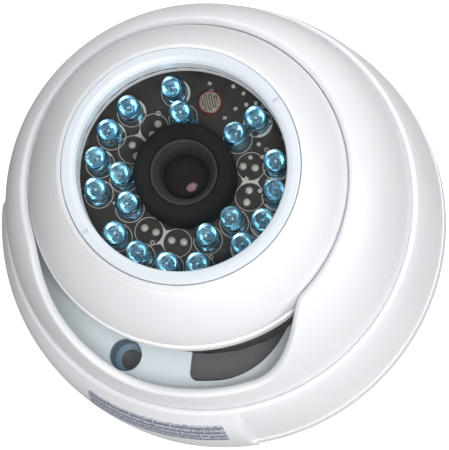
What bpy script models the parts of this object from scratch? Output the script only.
"""Dome CCTV camera.

A notched dome cover turns on a round base and holds a tilting ball with a lens and infrared LEDs.
Frame: origin at the bottom centre of the base, +Z straight out of the ceiling face, -Y towards the notch.
"""

import math

import bmesh
import bpy
from mathutils import Matrix, Vector

MM = 0.001

# Base: tray and housing
BASE_RADIUS = 48.6 * MM
TRAY_HEIGHT = 4.2 * MM
TRAY_FLOOR = 2.2 * MM
GRIP_RADIUS = 49.0 * MM
PANEL_AZIMUTHS = (-84.5, 19.0)
PANEL_FOOT_RADIUS = 48.9 * MM
PANEL_BULGE = (50.2 * MM, 18.0 * MM)
HOUSING_BOTTOM = 4.5 * MM
GROOVE_HEIGHT = 25.0 * MM
HOUSING_TOP_RADIUS = 44.6 * MM
HOUSING_BULGE = (46.8 * MM, 23.6 * MM)
CABLE_HOLE_RADIUS = 6.0 * MM
LABEL_AZIMUTHS = (-24.3, 13.7)
LABEL_SPAN = (0.38, 0.5, 0.62, 0.74)

# Cover: outer profile from the groove to the lip, as a quadratic curve
COVER_FOOT_RADIUS = 44.1 * MM
COVER_BULGE = (42.4 * MM, 43.7 * MM)
LIP_RADIUS = 36.0 * MM
LIP_HEIGHT = 49.9 * MM
COVER_WALL = 1.5 * MM
LIP_ROLL = 0.95 * MM
NOTCH_ROLL = 1.0 * MM
NOTCH_HEIGHT = 33.6 * MM
NOTCH_BOTTOM = (-2.0, 27.0)
NOTCH_ENDS = (-64.0, 56.0)

# Ball
BALL_HEIGHT = 43.3 * MM
BALL_RADIUS = 34.3 * MM
REAR_RADIUS = 34.0 * MM
SHELL_WALL = 1.8 * MM
LEAN = math.radians(5.3)
ROLL = math.radians(-10.5)

# Turntable, fasteners and the wells that reach the ceiling screws
DECK_TOP = 25.0 * MM
DECK_BOTTOM = 23.6 * MM
DECK_INNER = 31.8 * MM
DECK_OUTER = 41.9 * MM
WELL_PITCH_RADIUS = 36.6 * MM
WELL_AZIMUTHS = (-18.6, 101.4, 221.4)
WELL_RADIUS = 3.55 * MM
COVER_SCREW_PITCH_RADIUS = 39.9 * MM
COVER_SCREW_AZIMUTHS = (75.0, 180.0, 285.0)
TRAY_SCREW_PITCH_RADIUS = 43.4 * MM
TRAY_SCREW_AZIMUTHS = (41.4, 161.4, 281.4)

# Yoke: a strap bent round the ball, pinned on the tilt axis
STRAP_INNER = 34.95 * MM
STRAP_OUTER = 35.85 * MM
STRAP_WIDTH = 10.0 * MM
EAR_INNER = 36.15 * MM
EAR_OUTER = 37.05 * MM
PIN_HOLE_RADIUS = 1.25 * MM

# Camera module inside the ball, along its optical axis
BOARD_TOP = 9.0 * MM
BOARD_BOTTOM = 7.6 * MM
LED_OUTER_CIRCLE = 18.8 * MM
LED_INNER_CIRCLE = 13.4 * MM
LED_GROUP_STEP = 19.6
LED_INNER_SLOTS = 13
LED_INNER_START = 88.3
LED_INNER_FILLED = (1, 4, 5, 8, 9, 12)
RING_SLOT_AZIMUTHS = (56.0, 236.0)

# Segments round a turned piece, by its size
LARGE = 48
MEDIUM = 32
SMALL = 12
TINY = 8


def clear_scene():
    for obj in list(bpy.data.objects):
        bpy.data.objects.remove(obj, do_unlink=True)


def material(name, colour, roughness, metallic=0.0):
    made = bpy.data.materials.new(name)
    made.use_nodes = True
    shader = made.node_tree.nodes["Principled BSDF"]
    shader.inputs["Base Color"].default_value = (*colour, 1.0)
    shader.inputs["Roughness"].default_value = roughness
    shader.inputs["Metallic"].default_value = metallic
    return made


def in_mm(*outline):
    """An outline of (radius, height) points given in millimetres, in metres."""
    return [(radius * MM, height * MM) for radius, height in outline]


def polar(radius, azimuth):
    """The point at this radius, its azimuth in degrees from -Y towards +X."""
    angle = math.radians(azimuth)
    return radius * math.sin(angle), -radius * math.cos(angle)


def mesh_object(name, points, faces, paint=None, parent=None):
    mesh = bpy.data.meshes.new(name)
    mesh.from_pydata([tuple(point) for point in points], [], faces)
    builder = bmesh.new()
    builder.from_mesh(mesh)
    bmesh.ops.recalc_face_normals(builder, faces=builder.faces)
    builder.to_mesh(mesh)
    builder.free()
    mesh.shade_smooth()
    mesh.set_sharp_from_angle(angle=math.radians(35))
    made = bpy.data.objects.new(name, mesh)
    bpy.context.collection.objects.link(made)
    made.parent = parent
    if paint:
        made.data.materials.append(paint)
    return made


def turned_mesh(outline, segments):
    """Points and faces of a closed (radius, height) outline turned about Z. Radius 0 is a pole."""
    points = []
    rows = []
    for radius, height in outline:
        first = len(points)
        if radius == 0:
            points.append((0, 0, height))
            rows.append([first] * segments)
            continue
        for step in range(segments):
            angle = math.tau * step / segments
            points.append((radius * math.cos(angle), radius * math.sin(angle), height))
        rows.append(list(range(first, first + segments)))
    faces = []
    for row, following in zip(rows, rows[1:] + rows[:1]):
        for step in range(segments):
            after = (step + 1) % segments
            corners = [row[step], row[after], following[after], following[step]]
            face = list(dict.fromkeys(corners))
            if len(face) > 2:
                faces.append(face)
    return points, faces


def turned(name, outline, segments, paint=None, parent=None):
    return mesh_object(name, *turned_mesh(outline, segments), paint, parent)


def cylinder(name, radius, bottom, top, segments=SMALL, paint=None, parent=None):
    outline = [(0, bottom), (radius, bottom), (radius, top), (0, top)]
    return turned(name, outline, segments, paint, parent)


def box(name, low, high, paint=None, parent=None):
    corners = [(x, y, z) for x in (low[0], high[0]) for y in (low[1], high[1]) for z in (low[2], high[2])]
    faces = [(0, 1, 3, 2), (4, 6, 7, 5), (0, 4, 5, 1), (2, 3, 7, 6), (0, 2, 6, 4), (1, 5, 7, 3)]
    return mesh_object(name, corners, faces, paint, parent)


def sector(name, section, azimuths, steps, paint=None, parent=None):
    """A closed (radius, height) section swept between two azimuths."""
    points = []
    for step in range(steps + 1):
        azimuth = azimuths[0] + (azimuths[1] - azimuths[0]) * step / steps
        for radius, height in section:
            points.append((*polar(radius, azimuth), height))
    count = len(section)
    faces = [tuple(range(count)), tuple(range(steps * count, (steps + 1) * count))]
    for step in range(steps):
        for corner in range(count):
            after = (corner + 1) % count
            near, far = step * count, (step + 1) * count
            faces.append((near + corner, near + after, far + after, far + corner))
    return mesh_object(name, points, faces, paint, parent)


def helper(obj):
    obj.hide_render = True
    obj.display_type = "WIRE"
    return obj


def combine(obj, other, operation):
    helper(other)
    if other.parent is None:
        other.parent = obj.parent
    modifier = obj.modifiers.new(f"{operation.lower()}_{other.name}", "BOOLEAN")
    modifier.operation = operation
    modifier.solver = "EXACT"
    modifier.object = other


def cut(obj, *cutters):
    for cutter in cutters:
        combine(obj, cutter, "DIFFERENCE")


def join(obj, *additions):
    for addition in additions:
        combine(obj, addition, "UNION")


def at_polar(obj, radius, azimuth):
    obj.location.x, obj.location.y = polar(radius, azimuth)
    return obj


def arc(radius, start, end, steps):
    """(radius, height) points on a circle about the origin, between two polar angles in degrees from +Z."""
    angles = [math.radians(start + (end - start) * step / steps) for step in range(steps + 1)]
    return [(radius * math.sin(angle), radius * math.cos(angle)) for angle in angles]


def polar_angle(radius, height):
    """Degrees from +Z of the point at this height on a circle of this radius."""
    return math.degrees(math.acos(height / radius))


def quadratic(start, control, end, t):
    """Point and unit tangent of a quadratic curve in the (radius, height) plane."""
    start, control, end = Vector(start), Vector(control), Vector(end)
    point = (1 - t) ** 2 * start + 2 * t * (1 - t) * control + t**2 * end
    tangent = (1 - t) * (control - start) + t * (end - control)
    return point, tangent.normalized()


def smooth_step(value):
    value = min(max(value, 0.0), 1.0)
    return value * value * (3 - 2 * value)


# Base


def mounting_tray(paint):
    outline = [
        (0, 0),
        (BASE_RADIUS - 0.7 * MM, 0),
        (BASE_RADIUS, 0.7 * MM),
        (BASE_RADIUS, TRAY_HEIGHT - 0.3 * MM),
        (BASE_RADIUS - 0.3 * MM, TRAY_HEIGHT),
        (46.4 * MM, TRAY_HEIGHT),
        (46.4 * MM, TRAY_FLOOR),
        (0, TRAY_FLOOR),
    ]
    tray = turned("mounting_tray", outline, LARGE, paint)
    grip_section = [
        (47.0 * MM, 0.4 * MM),
        (GRIP_RADIUS - 0.3 * MM, 0.4 * MM),
        (GRIP_RADIUS, 0.7 * MM),
        (GRIP_RADIUS, 3.4 * MM),
        (GRIP_RADIUS - 0.3 * MM, 3.7 * MM),
        (47.0 * MM, 3.7 * MM),
    ]
    join(tray, sector("tray_grip", grip_section, PANEL_AZIMUTHS, 18))
    cut(tray, cylinder("tray_cable_cutter", CABLE_HOLE_RADIUS, -1 * MM, 4 * MM, 20))
    for index, azimuth in enumerate(WELL_AZIMUTHS):
        cutter = cylinder(f"tray_mount_cutter_{index}", 2.2 * MM, -1 * MM, 4 * MM)
        cut(tray, at_polar(cutter, WELL_PITCH_RADIUS, azimuth))
    for index, azimuth in enumerate(TRAY_SCREW_AZIMUTHS):
        counterbore = in_mm((0, -1), (2.9, -1), (2.9, 1.3), (1.6, 1.3), (1.6, 4), (0, 4))
        cutter = turned(f"tray_screw_cutter_{index}", counterbore, SMALL)
        cut(tray, at_polar(cutter, TRAY_SCREW_PITCH_RADIUS, azimuth))


def housing_curve(t):
    return quadratic((BASE_RADIUS, 0.5 * MM), HOUSING_BULGE, (HOUSING_TOP_RADIUS, GROOVE_HEIGHT), t)[0]


def panel_curve(t):
    start, end = (PANEL_FOOT_RADIUS, 0.5 * MM), (HOUSING_TOP_RADIUS, GROOVE_HEIGHT)
    return quadratic(start, PANEL_BULGE, end, t)[0]


def side_panel():
    """The fuller part of the housing's wall, which carries the label."""
    wall = [panel_curve(t) for t in (0.13, 0.25, 0.38, 0.5, 0.62, 0.74, 0.86, 0.95)]
    section = [(point.x, point.y) for point in wall]
    section += in_mm((44.9, 24.0), (45.6, 20.0), (47.4, 4.6))
    return sector("side_panel", section, PANEL_AZIMUTHS, 18)


def base_housing(paint):
    steps = 4
    outline = in_mm((46.6, 4.5))
    for step in range(steps + 1):
        point = housing_curve(0.09 + 0.87 * step / steps)
        outline.append((point.x, point.y if step else HOUSING_BOTTOM))
    outline += in_mm((44.55, 24.9), (44.5, 22.6))
    outline += in_mm((42.3, 22.6), (42.3, 20.8), (44.9, 20.8))
    housing = turned("base_housing", outline, LARGE, paint)
    join(housing, side_panel())
    for index, azimuth in enumerate(TRAY_SCREW_AZIMUTHS):
        boss = cylinder(f"housing_boss_{index}", 2.4 * MM, 2.6 * MM, 16 * MM)
        join(housing, at_polar(boss, TRAY_SCREW_PITCH_RADIUS, azimuth))
        hole = cylinder(f"housing_boss_cutter_{index}", 1.4 * MM, 1 * MM, 13.6 * MM, TINY)
        cut(housing, at_polar(hole, TRAY_SCREW_PITCH_RADIUS, azimuth))


def tray_screws(paint):
    outline = in_mm((0, 0.2), (2.5, 0.2), (2.5, 1.1), (1.2, 1.2), (1.2, 13.0), (0, 13.0))
    for index, azimuth in enumerate(TRAY_SCREW_AZIMUTHS, 1):
        screw = turned(f"tray_screw_{index}", outline, TINY, paint)
        at_polar(screw, TRAY_SCREW_PITCH_RADIUS, azimuth)


def cable_grommet(paint):
    outline = in_mm((4.0, 0.4), (5.7, 0.4), (5.7, 2.5), (7.8, 2.5), (7.4, 3.6), (4.0, 3.6))
    turned("cable_grommet", outline, 20, paint)


def glide_ring(paint):
    outline = in_mm((42.6, 22.9), (44.0, 22.9), (44.0, 23.9), (42.6, 23.9))
    turned("glide_ring", outline, MEDIUM, paint)


def rating_label(paint):
    """A blank label that follows the side panel just outside it."""
    gap, outside = 0.15 * MM, 0.4 * MM
    wall = [panel_curve(t) for t in LABEL_SPAN]
    section = [(point.x + gap, point.y) for point in wall]
    section += [(point.x + outside, point.y) for point in reversed(wall)]
    sector("rating_label", section, LABEL_AZIMUTHS, 8, paint)


# Dome: everything that pans with the cover


def notch_depth(azimuth):
    """0 where the lip is at full height, 1 along the bottom of the notch; its -X slope is the longer one."""
    azimuth = (azimuth + 180) % 360 - 180
    left = (azimuth - NOTCH_ENDS[0]) / (NOTCH_BOTTOM[0] - NOTCH_ENDS[0])
    right = (NOTCH_ENDS[1] - azimuth) / (NOTCH_ENDS[1] - NOTCH_BOTTOM[1])
    return smooth_step(min(left, right))


def cover_curve(t):
    return quadratic((COVER_FOOT_RADIUS, GROOVE_HEIGHT), COVER_BULGE, (LIP_RADIUS, LIP_HEIGHT), t)


def curve_end(height):
    """Where on the cover's curve this height lies, by halving."""
    low, high = 0.0, 1.0
    for _ in range(30):
        middle = (low + high) / 2
        if cover_curve(middle)[0].y < height:
            low = middle
        else:
            high = middle
    return high


def cover_section(azimuth):
    """The closed wall section at one azimuth: up the outside, over the rolled rim and down the inside."""
    depth = notch_depth(azimuth)
    end = curve_end(LIP_HEIGHT - depth * (LIP_HEIGHT - NOTCH_HEIGHT))
    roll = LIP_ROLL + depth * (NOTCH_ROLL - LIP_ROLL)
    outside_steps, rim_steps, inside_steps = 5, 4, 3
    section = [Vector((COVER_FOOT_RADIUS, 24.2 * MM))]
    for step in range(outside_steps + 1):
        section.append(cover_curve(end * step / outside_steps)[0])
    top, tangent = cover_curve(end)
    inward = Vector((-tangent.y, tangent.x))
    for step in range(1, rim_steps):
        angle = math.pi * step / rim_steps
        section.append(top + inward * roll * (1 - math.cos(angle)) + tangent * roll * math.sin(angle))
    for step in range(inside_steps, -1, -1):
        t = step / inside_steps
        point, tangent = cover_curve(end * t)
        wall = COVER_WALL + (2 * roll - COVER_WALL) * smooth_step((t - 0.55) / 0.45)
        section.append(point + Vector((-tangent.y, tangent.x)) * wall)
    section.append(Vector((COVER_FOOT_RADIUS - COVER_WALL, 24.2 * MM)))
    return section


def dome_cover(paint):
    segments = 60
    sections = [cover_section(360.0 * step / segments) for step in range(segments)]
    count = len(sections[0])
    points = []
    for step, section in enumerate(sections):
        for point in section:
            points.append((*polar(point.x, 360.0 * step / segments), point.y))
    faces = []
    for step in range(segments):
        near, far = step * count, (step + 1) % segments * count
        for corner in range(count):
            after = (corner + 1) % count
            faces.append((near + corner, near + after, far + after, far + corner))
    cover = mesh_object("dome_cover", points, faces, paint)
    for index, azimuth in enumerate(COVER_SCREW_AZIMUTHS):
        boss = cylinder(f"cover_boss_{index}", 2.3 * MM, 25.3 * MM, 34 * MM)
        join(cover, at_polar(boss, COVER_SCREW_PITCH_RADIUS, azimuth))
        hole = cylinder(f"cover_boss_cutter_{index}", 1.3 * MM, 24 * MM, 32 * MM, TINY)
        cut(cover, at_polar(hole, COVER_SCREW_PITCH_RADIUS, azimuth))


def ear_outline():
    """The outline, as (across, height), of a pivot ear standing on the deck."""
    eye = 2.2 * MM
    outline = [(-4.5 * MM, 24.2 * MM), (4.5 * MM, 24.2 * MM), (4.5 * MM, 28.0 * MM)]
    for step in range(9):
        angle = math.pi * step / 8
        outline.append((eye * math.cos(angle), BALL_HEIGHT + eye * math.sin(angle)))
    outline.append((-4.5 * MM, 28.0 * MM))
    return outline


def plate_across_x(name, outline, near, far):
    """A plate between two X positions, from an outline of (Y, Z) points."""
    points = [(near, across, height) for across, height in outline]
    points += [(far, across, height) for across, height in outline]
    count = len(outline)
    faces = [tuple(range(count)), tuple(range(count, 2 * count))]
    for corner in range(count):
        after = (corner + 1) % count
        faces.append((corner, after, count + after, count + corner))
    return mesh_object(name, points, faces)


def cross_hole(name, height):
    """A cutter right through along X at this height, for the tilt pins."""
    cutter = cylinder(name, PIN_HOLE_RADIUS, -40 * MM, 40 * MM, 12)
    across = Matrix.Rotation(math.radians(90), 4, "Y")
    twist = Matrix.Rotation(math.radians(11), 4, "Z")
    cutter.matrix_local = Matrix.Translation((0, 0, height)) @ across @ twist
    return cutter


def bolt_clearance(name):
    """A cutter for the slot at the back that the roll bolt's head swings through."""
    return sector(name, in_mm((30.0, 21), (34.6, 21), (34.6, 27), (30.0, 27)), (160.0, 200.0), 6)


def front_gap(name):
    """A cutter for the gap beside the ball: widest at its -X end, then closing towards +X."""
    edge = [(29.0, 4.6), (36.2, 4.6), (37.5, 5.3), (38.0, 7.4), (38.0, 12.0), (38.0, 16.0), (38.0, 20.0)]
    edge += [(37.1, 26.0), (35.9, 31.5), (34.8, 37.0), (33.1, 41.0), (30.9, 46.0), (29.0, 50.0)]
    outline = [polar(radius * MM, azimuth) for radius, azimuth in edge]
    points = [(x, y, height * MM) for height in (22.0, 27.0) for x, y in outline]
    count = len(outline)
    faces = [tuple(range(count)), tuple(range(count, 2 * count))]
    faces += [(i, (i + 1) % count, count + (i + 1) % count, count + i) for i in range(count)]
    return mesh_object(name, points, faces)


def turntable(paint):
    outline = [(DECK_INNER, DECK_BOTTOM), (DECK_OUTER, DECK_BOTTOM)]
    outline += [(DECK_OUTER, DECK_TOP), (DECK_INNER, DECK_TOP)]
    deck = turned("turntable", outline, LARGE, paint)
    outline = ear_outline()
    join(deck, plate_across_x("ear_right", outline, EAR_INNER, EAR_OUTER))
    join(deck, plate_across_x("ear_left", outline, -EAR_OUTER, -EAR_INNER))
    cut(deck, cross_hole("ear_cutter", BALL_HEIGHT))
    for index, azimuth in enumerate(WELL_AZIMUTHS):
        tube = cylinder(f"well_{index}", 4.3 * MM, 17.6 * MM, 24.6 * MM, 16)
        join(deck, at_polar(tube, WELL_PITCH_RADIUS, azimuth))
        bore = in_mm((0, 16.0), (2.2, 16.0), (2.2, 18.8), (3.55, 18.8), (3.55, 26.0), (0, 26.0))
        hole = turned(f"well_cutter_{index}", bore, 16)
        cut(deck, at_polar(hole, WELL_PITCH_RADIUS, azimuth))
    for index, azimuth in enumerate(COVER_SCREW_AZIMUTHS):
        hole = cylinder(f"deck_screw_cutter_{index}", 1.4 * MM, 22 * MM, 27 * MM, TINY)
        cut(deck, at_polar(hole, COVER_SCREW_PITCH_RADIUS, azimuth))
    cut(deck, front_gap("deck_front_cutter"))
    cut(deck, bolt_clearance("deck_rear_cutter"))


def keeper_ring(paint):
    outline = in_mm((37.2, 19.0), (43.8, 19.0), (43.8, 20.4), (37.2, 20.4))
    keeper = turned("keeper_ring", outline, LARGE, paint)
    for index, azimuth in enumerate(COVER_SCREW_AZIMUTHS):
        post = cylinder(f"keeper_post_{index}", 2.0 * MM, 19.6 * MM, 23.3 * MM)
        join(keeper, at_polar(post, COVER_SCREW_PITCH_RADIUS, azimuth))
        hole = cylinder(f"keeper_cutter_{index}", 1.4 * MM, 18 * MM, 25 * MM, TINY)
        cut(keeper, at_polar(hole, COVER_SCREW_PITCH_RADIUS, azimuth))
    for index, azimuth in enumerate(WELL_AZIMUTHS):
        hole = cylinder(f"keeper_well_cutter_{index}", 4.7 * MM, 18 * MM, 25 * MM, 16)
        cut(keeper, at_polar(hole, WELL_PITCH_RADIUS, azimuth))


def dust_shield(paint):
    outline = in_mm((31.9, 22.3), (37.6, 22.3), (37.6, 23.2), (31.9, 23.2))
    shield = turned("dust_shield", outline, MEDIUM, paint)
    for index, azimuth in enumerate(WELL_AZIMUTHS):
        hole = cylinder(f"shield_well_cutter_{index}", 4.7 * MM, 21 * MM, 25 * MM, 16)
        cut(shield, at_polar(hole, WELL_PITCH_RADIUS, azimuth))
    cut(shield, bolt_clearance("shield_rear_cutter"))


def cover_screws(paint):
    outline = in_mm((0, 17.4), (1.8, 17.4), (2.0, 17.7), (2.0, 18.7), (1.15, 18.8), (1.15, 31.0), (0, 31.0))
    for index, azimuth in enumerate(COVER_SCREW_AZIMUTHS, 1):
        screw = turned(f"cover_screw_{index}", outline, TINY, paint)
        at_polar(screw, COVER_SCREW_PITCH_RADIUS, azimuth)


# Yoke and slider


def yoke(paint, parent):
    """The strap runs from one tilt pin, under the ball, to the other; its section is a flat rectangle."""
    path = [(0.0, 2.6 * MM)]
    path += [(math.radians(180.0 * step / 24), 0.0) for step in range(25)]
    path.append((math.pi, 2.6 * MM))
    points = []
    for angle, lift in path:
        taper = abs(math.cos(angle)) ** 4
        half = STRAP_WIDTH / 2 - taper * 2.2 * MM
        corners = ((STRAP_INNER, -half), (STRAP_OUTER, -half), (STRAP_OUTER, half), (STRAP_INNER, half))
        for radius, across in corners:
            points.append((radius * math.cos(angle), across, lift - radius * math.sin(angle)))
    faces = [(0, 1, 2, 3), tuple(range(len(points) - 4, len(points)))]
    for step in range(len(path) - 1):
        for corner in range(4):
            after = (corner + 1) % 4
            near, far = 4 * step, 4 * (step + 1)
            faces.append((near + corner, near + after, far + after, far + corner))
    strap = mesh_object("yoke", points, faces, paint, parent)
    cut(strap, cross_hole("yoke_pin_cutter", 0))
    cut(strap, box("yoke_slot_cutter", (-8 * MM, -1.7 * MM, -38 * MM), (8 * MM, 1.7 * MM, -33 * MM)))


def pivot_pins(paint, parent):
    outline = in_mm((0, 34.85), (1.1, 34.85), (1.1, 37.15), (1.6, 37.2), (1.45, 37.45), (0, 37.45))
    for name, turn in (("pivot_pin_right", 90), ("pivot_pin_left", -90)):
        pin = turned(name, outline, 12, paint, parent)
        pin.rotation_euler.y = math.radians(turn)


def roll_bolt(paint, parent):
    outline = in_mm((0, -37.8), (2.3, -37.8), (2.6, -37.5), (2.6, -36.85))
    outline += in_mm((1.4, -36.8), (1.4, -28.0), (0, -28.0))
    turned("roll_bolt", outline, SMALL, paint, parent)


def slide_washer(paint, parent):
    outline = in_mm((1.7, -36.6), (3.8, -36.6), (3.8, -36.15), (1.7, -36.15))
    turned("slide_washer", outline, 20, paint, parent)


def roll_nut(paint, parent):
    nut = cylinder("roll_nut", 3.0 * MM, -31.6 * MM, -29.4 * MM, 6, paint, parent)
    cut(nut, cylinder("roll_nut_cutter", 1.5 * MM, -33 * MM, -28 * MM, 12))


# Ball and camera module


def ball_front_shell(paint, parent):
    outer = in_mm((34.3, 0.2), (34.55, 0.5), (34.45, 3.0), (33.95, 3.1))
    outer += arc(BALL_RADIUS, polar_angle(BALL_RADIUS, 5 * MM), polar_angle(BALL_RADIUS, 22.9 * MM), 6)
    neck = in_mm((25.3, 23.5), (25.1, 23.95), (24.85, 24.0))
    neck += in_mm((24.85, 17.7), (21.6, 17.7), (21.6, 16.4))
    inner_radius = BALL_RADIUS - SHELL_WALL
    inner = arc(inner_radius, polar_angle(inner_radius, 16.4 * MM), polar_angle(inner_radius, 0.2 * MM), 3)
    turned("ball_front_shell", outer + neck + inner, MEDIUM, paint, parent)


def ball_rear_shell(paint, parent):
    pole_hole = 1.7 * MM
    inner_radius = REAR_RADIUS - SHELL_WALL
    hole_angle = 180 - math.degrees(math.asin(pole_hole / REAR_RADIUS))
    inner_hole_angle = 180 - math.degrees(math.asin(pole_hole / inner_radius))
    outer = arc(REAR_RADIUS, 90.3, hole_angle, 7)
    inner = arc(inner_radius, inner_hole_angle, 90.3, 5)
    shell = turned("ball_rear_shell", outer + inner, MEDIUM, paint, parent)
    cable_exit = cylinder("rear_shell_cutter", 3.5 * MM, 25 * MM, 40 * MM, SMALL)
    cable_exit.rotation_euler.x = math.radians(180 - 38)
    cut(shell, cable_exit)


def retaining_ring(paint, parent):
    outline = in_mm((21.6, 19.35), (24.55, 19.35), (24.55, 23.9))
    outline += in_mm((24.3, 24.3), (22.3, 24.45), (22.0, 24.2))
    ring = turned("retaining_ring", outline, MEDIUM, paint, parent)
    for index, azimuth in enumerate(RING_SLOT_AZIMUTHS):
        low, high = (22.6 * MM, -0.45 * MM, 23.4 * MM), (26 * MM, 0.45 * MM, 26 * MM)
        slot = box(f"ring_slot_cutter_{index}", low, high)
        slot.rotation_euler.z = math.radians(azimuth)
        cut(ring, slot)


def window(glass, rubber, parent):
    cylinder("window_glass", 24.4 * MM, 18.4 * MM, 19.15 * MM, MEDIUM, glass, parent)
    outline = in_mm((21.9, 17.85), (23.6, 17.85), (23.6, 18.25), (21.9, 18.25))
    turned("window_seal", outline, MEDIUM, rubber, parent)


def led_board(paint, parent):
    outline = [(7.7 * MM, BOARD_BOTTOM), (25 * MM, BOARD_BOTTOM), (25 * MM, BOARD_TOP), (7.7 * MM, BOARD_TOP)]
    turned("led_board", outline, MEDIUM, paint, parent)


def led_mesh():
    """A 5 mm LED: a rim, a straight body and a domed top, standing on its board."""
    outline = in_mm((0, 0.3), (2.6, 0.3), (2.6, 1.3), (2.4, 1.3), (2.4, 5.9), (1.8, 7.6), (0, 8.3))
    return turned_mesh(outline, TINY)


def led_places():
    """Four groups of four on the outer circle, less two at the light sensor, and six inner places."""
    places = []
    for group in range(4):
        for place in (-1.5, -0.5, 0.5, 1.5):
            if group == 1 and abs(place) < 1:
                continue
            places.append((LED_OUTER_CIRCLE, 90 * group + place * LED_GROUP_STEP))
    for place in LED_INNER_FILLED:
        places.append((LED_INNER_CIRCLE, LED_INNER_START + place * 360.0 / LED_INNER_SLOTS))
    return places


def infrared_leds(paint, parent):
    points, faces = led_mesh()
    for index, (radius, angle) in enumerate(led_places(), 1):
        led = mesh_object(f"led_{index:02d}", points, faces, paint, parent)
        turn = math.radians(angle)
        led.location = (radius * math.cos(turn), radius * math.sin(turn), BOARD_TOP)


def light_sensor(paint, parent):
    sensor = cylinder("light_sensor", 2.5 * MM, 9.3 * MM, 11.3 * MM, 20, paint, parent)
    turn = math.radians(95)
    sensor.location.x, sensor.location.y = 16.8 * MM * math.cos(turn), 16.8 * MM * math.sin(turn)


def lens(black, glass, rubber, parent):
    hood = in_mm((7.3, 9.3), (10.5, 9.3), (10.5, 17.6), (10.1, 18.0), (7.7, 18.0), (7.3, 17.6))
    turned("lens_hood", hood, 28, rubber, parent)
    barrel = in_mm((5.8, -3.6), (5.8, 9.0), (6.9, 9.2), (6.9, 17.6), (6.6, 17.9), (6.1, 17.9))
    barrel += in_mm((4.9, 14.2), (4.4, 14.0), (4.4, -3.6))
    turned("lens_barrel", barrel, 24, black, parent)
    element = in_mm((0, 10.0), (4.2, 10.0), (4.2, 12.2), (3.4, 13.0), (1.9, 13.6), (0, 13.8))
    turned("lens_glass", element, 20, glass, parent)


def lens_mount(paint, parent):
    outline = in_mm((6.05, -5.0), (7.3, -5.0), (7.3, 8.6), (6.05, 8.6))
    mount = turned("lens_mount", outline, 24, paint, parent)
    base = box("lens_mount_base", (-8.5 * MM, -8.5 * MM, -9.0 * MM), (8.5 * MM, 8.5 * MM, -4.2 * MM))
    join(mount, base)
    cut(mount, cylinder("lens_mount_bore", 6.05 * MM, -7 * MM, -3 * MM, 24))
    cut(mount, box("lens_mount_pocket", (-6.8 * MM, -6.8 * MM, -10 * MM), (6.8 * MM, 6.8 * MM, -5.5 * MM)))


def circuit_boards(board, chip, parent):
    half = 19 * MM
    box("image_board", (-half, -half, -10.8 * MM), (half, half, -9.3 * MM), board, parent)
    box("image_sensor", (-5 * MM, -5 * MM, -9.0 * MM), (5 * MM, 5 * MM, -7.2 * MM), chip, parent)
    half = 15 * MM
    box("power_board", (-half, -half, -18.5 * MM), (half, half, -17.0 * MM), board, parent)


def posts(paint, parent):
    for name, angle in (("board_post_right", 0), ("board_post_left", 180)):
        post = cylinder(name, 1.2 * MM, 9.3 * MM, 16.1 * MM, TINY, paint, parent)
        turn = math.radians(angle)
        post.location.x, post.location.y = 23.4 * MM * math.cos(turn), 23.4 * MM * math.sin(turn)
    for name, side in (("board_pillar_right", 1), ("board_pillar_left", -1)):
        pillar = cylinder(name, 1.6 * MM, -9.0 * MM, 7.3 * MM, TINY, paint, parent)
        pillar.location.x, pillar.location.y = side * 16 * MM, side * 16 * MM


def empty(name, parent=None):
    made = bpy.data.objects.new(name, None)
    bpy.context.collection.objects.link(made)
    made.parent = parent
    return made


def build():
    clear_scene()
    white_metal = material("white_painted_metal", (0.86, 0.87, 0.88), 0.35)
    grey_metal = material("grey_plated_steel", (0.62, 0.62, 0.63), 0.4, 0.9)
    white_plastic = material("white_plastic", (0.84, 0.86, 0.88), 0.4)
    black_plastic = material("black_plastic", (0.03, 0.03, 0.032), 0.5)
    black_rubber = material("black_rubber", (0.02, 0.02, 0.02), 0.8)
    clear_glass = material("clear_window", (0.9, 0.94, 0.96), 0.05)
    lens_coating = material("coated_lens_glass", (0.12, 0.06, 0.14), 0.05)
    board_black = material("black_circuit_board", (0.02, 0.025, 0.03), 0.45)
    led_blue = material("blue_tinted_epoxy", (0.1, 0.55, 0.7), 0.1)
    sensor_red = material("light_sensor_ceramic", (0.75, 0.5, 0.45), 0.4)
    nylon = material("natural_nylon", (0.8, 0.79, 0.74), 0.5)
    paper = material("silver_label", (0.6, 0.6, 0.62), 0.45, 0.2)
    chip_dark = material("image_sensor_chip", (0.08, 0.1, 0.12), 0.25)

    mounting_tray(white_metal)
    base_housing(white_metal)
    tray_screws(grey_metal)
    cable_grommet(black_rubber)
    glide_ring(nylon)
    rating_label(paper)

    dome_cover(white_metal)
    turntable(white_plastic)
    keeper_ring(black_plastic)
    dust_shield(black_plastic)
    cover_screws(grey_metal)

    tilt_axis = empty("tilt_axis")
    tilt_axis.location.z = BALL_HEIGHT
    yoke(grey_metal, tilt_axis)
    pivot_pins(grey_metal, tilt_axis)

    lean_axis = empty("lean_axis", tilt_axis)
    lean_axis.rotation_euler.y = LEAN
    roll_bolt(grey_metal, lean_axis)
    slide_washer(nylon, lean_axis)
    roll_nut(grey_metal, lean_axis)

    optical_axis = empty("optical_axis", lean_axis)
    optical_axis.rotation_euler.z = ROLL
    ball_front_shell(white_metal, optical_axis)
    ball_rear_shell(white_plastic, optical_axis)
    retaining_ring(white_metal, optical_axis)
    window(clear_glass, black_rubber, optical_axis)
    led_board(board_black, optical_axis)
    infrared_leds(led_blue, optical_axis)
    light_sensor(sensor_red, optical_axis)
    lens(black_plastic, lens_coating, black_rubber, optical_axis)
    lens_mount(black_plastic, optical_axis)
    circuit_boards(board_black, chip_dark, optical_axis)
    posts(grey_metal, optical_axis)


build()
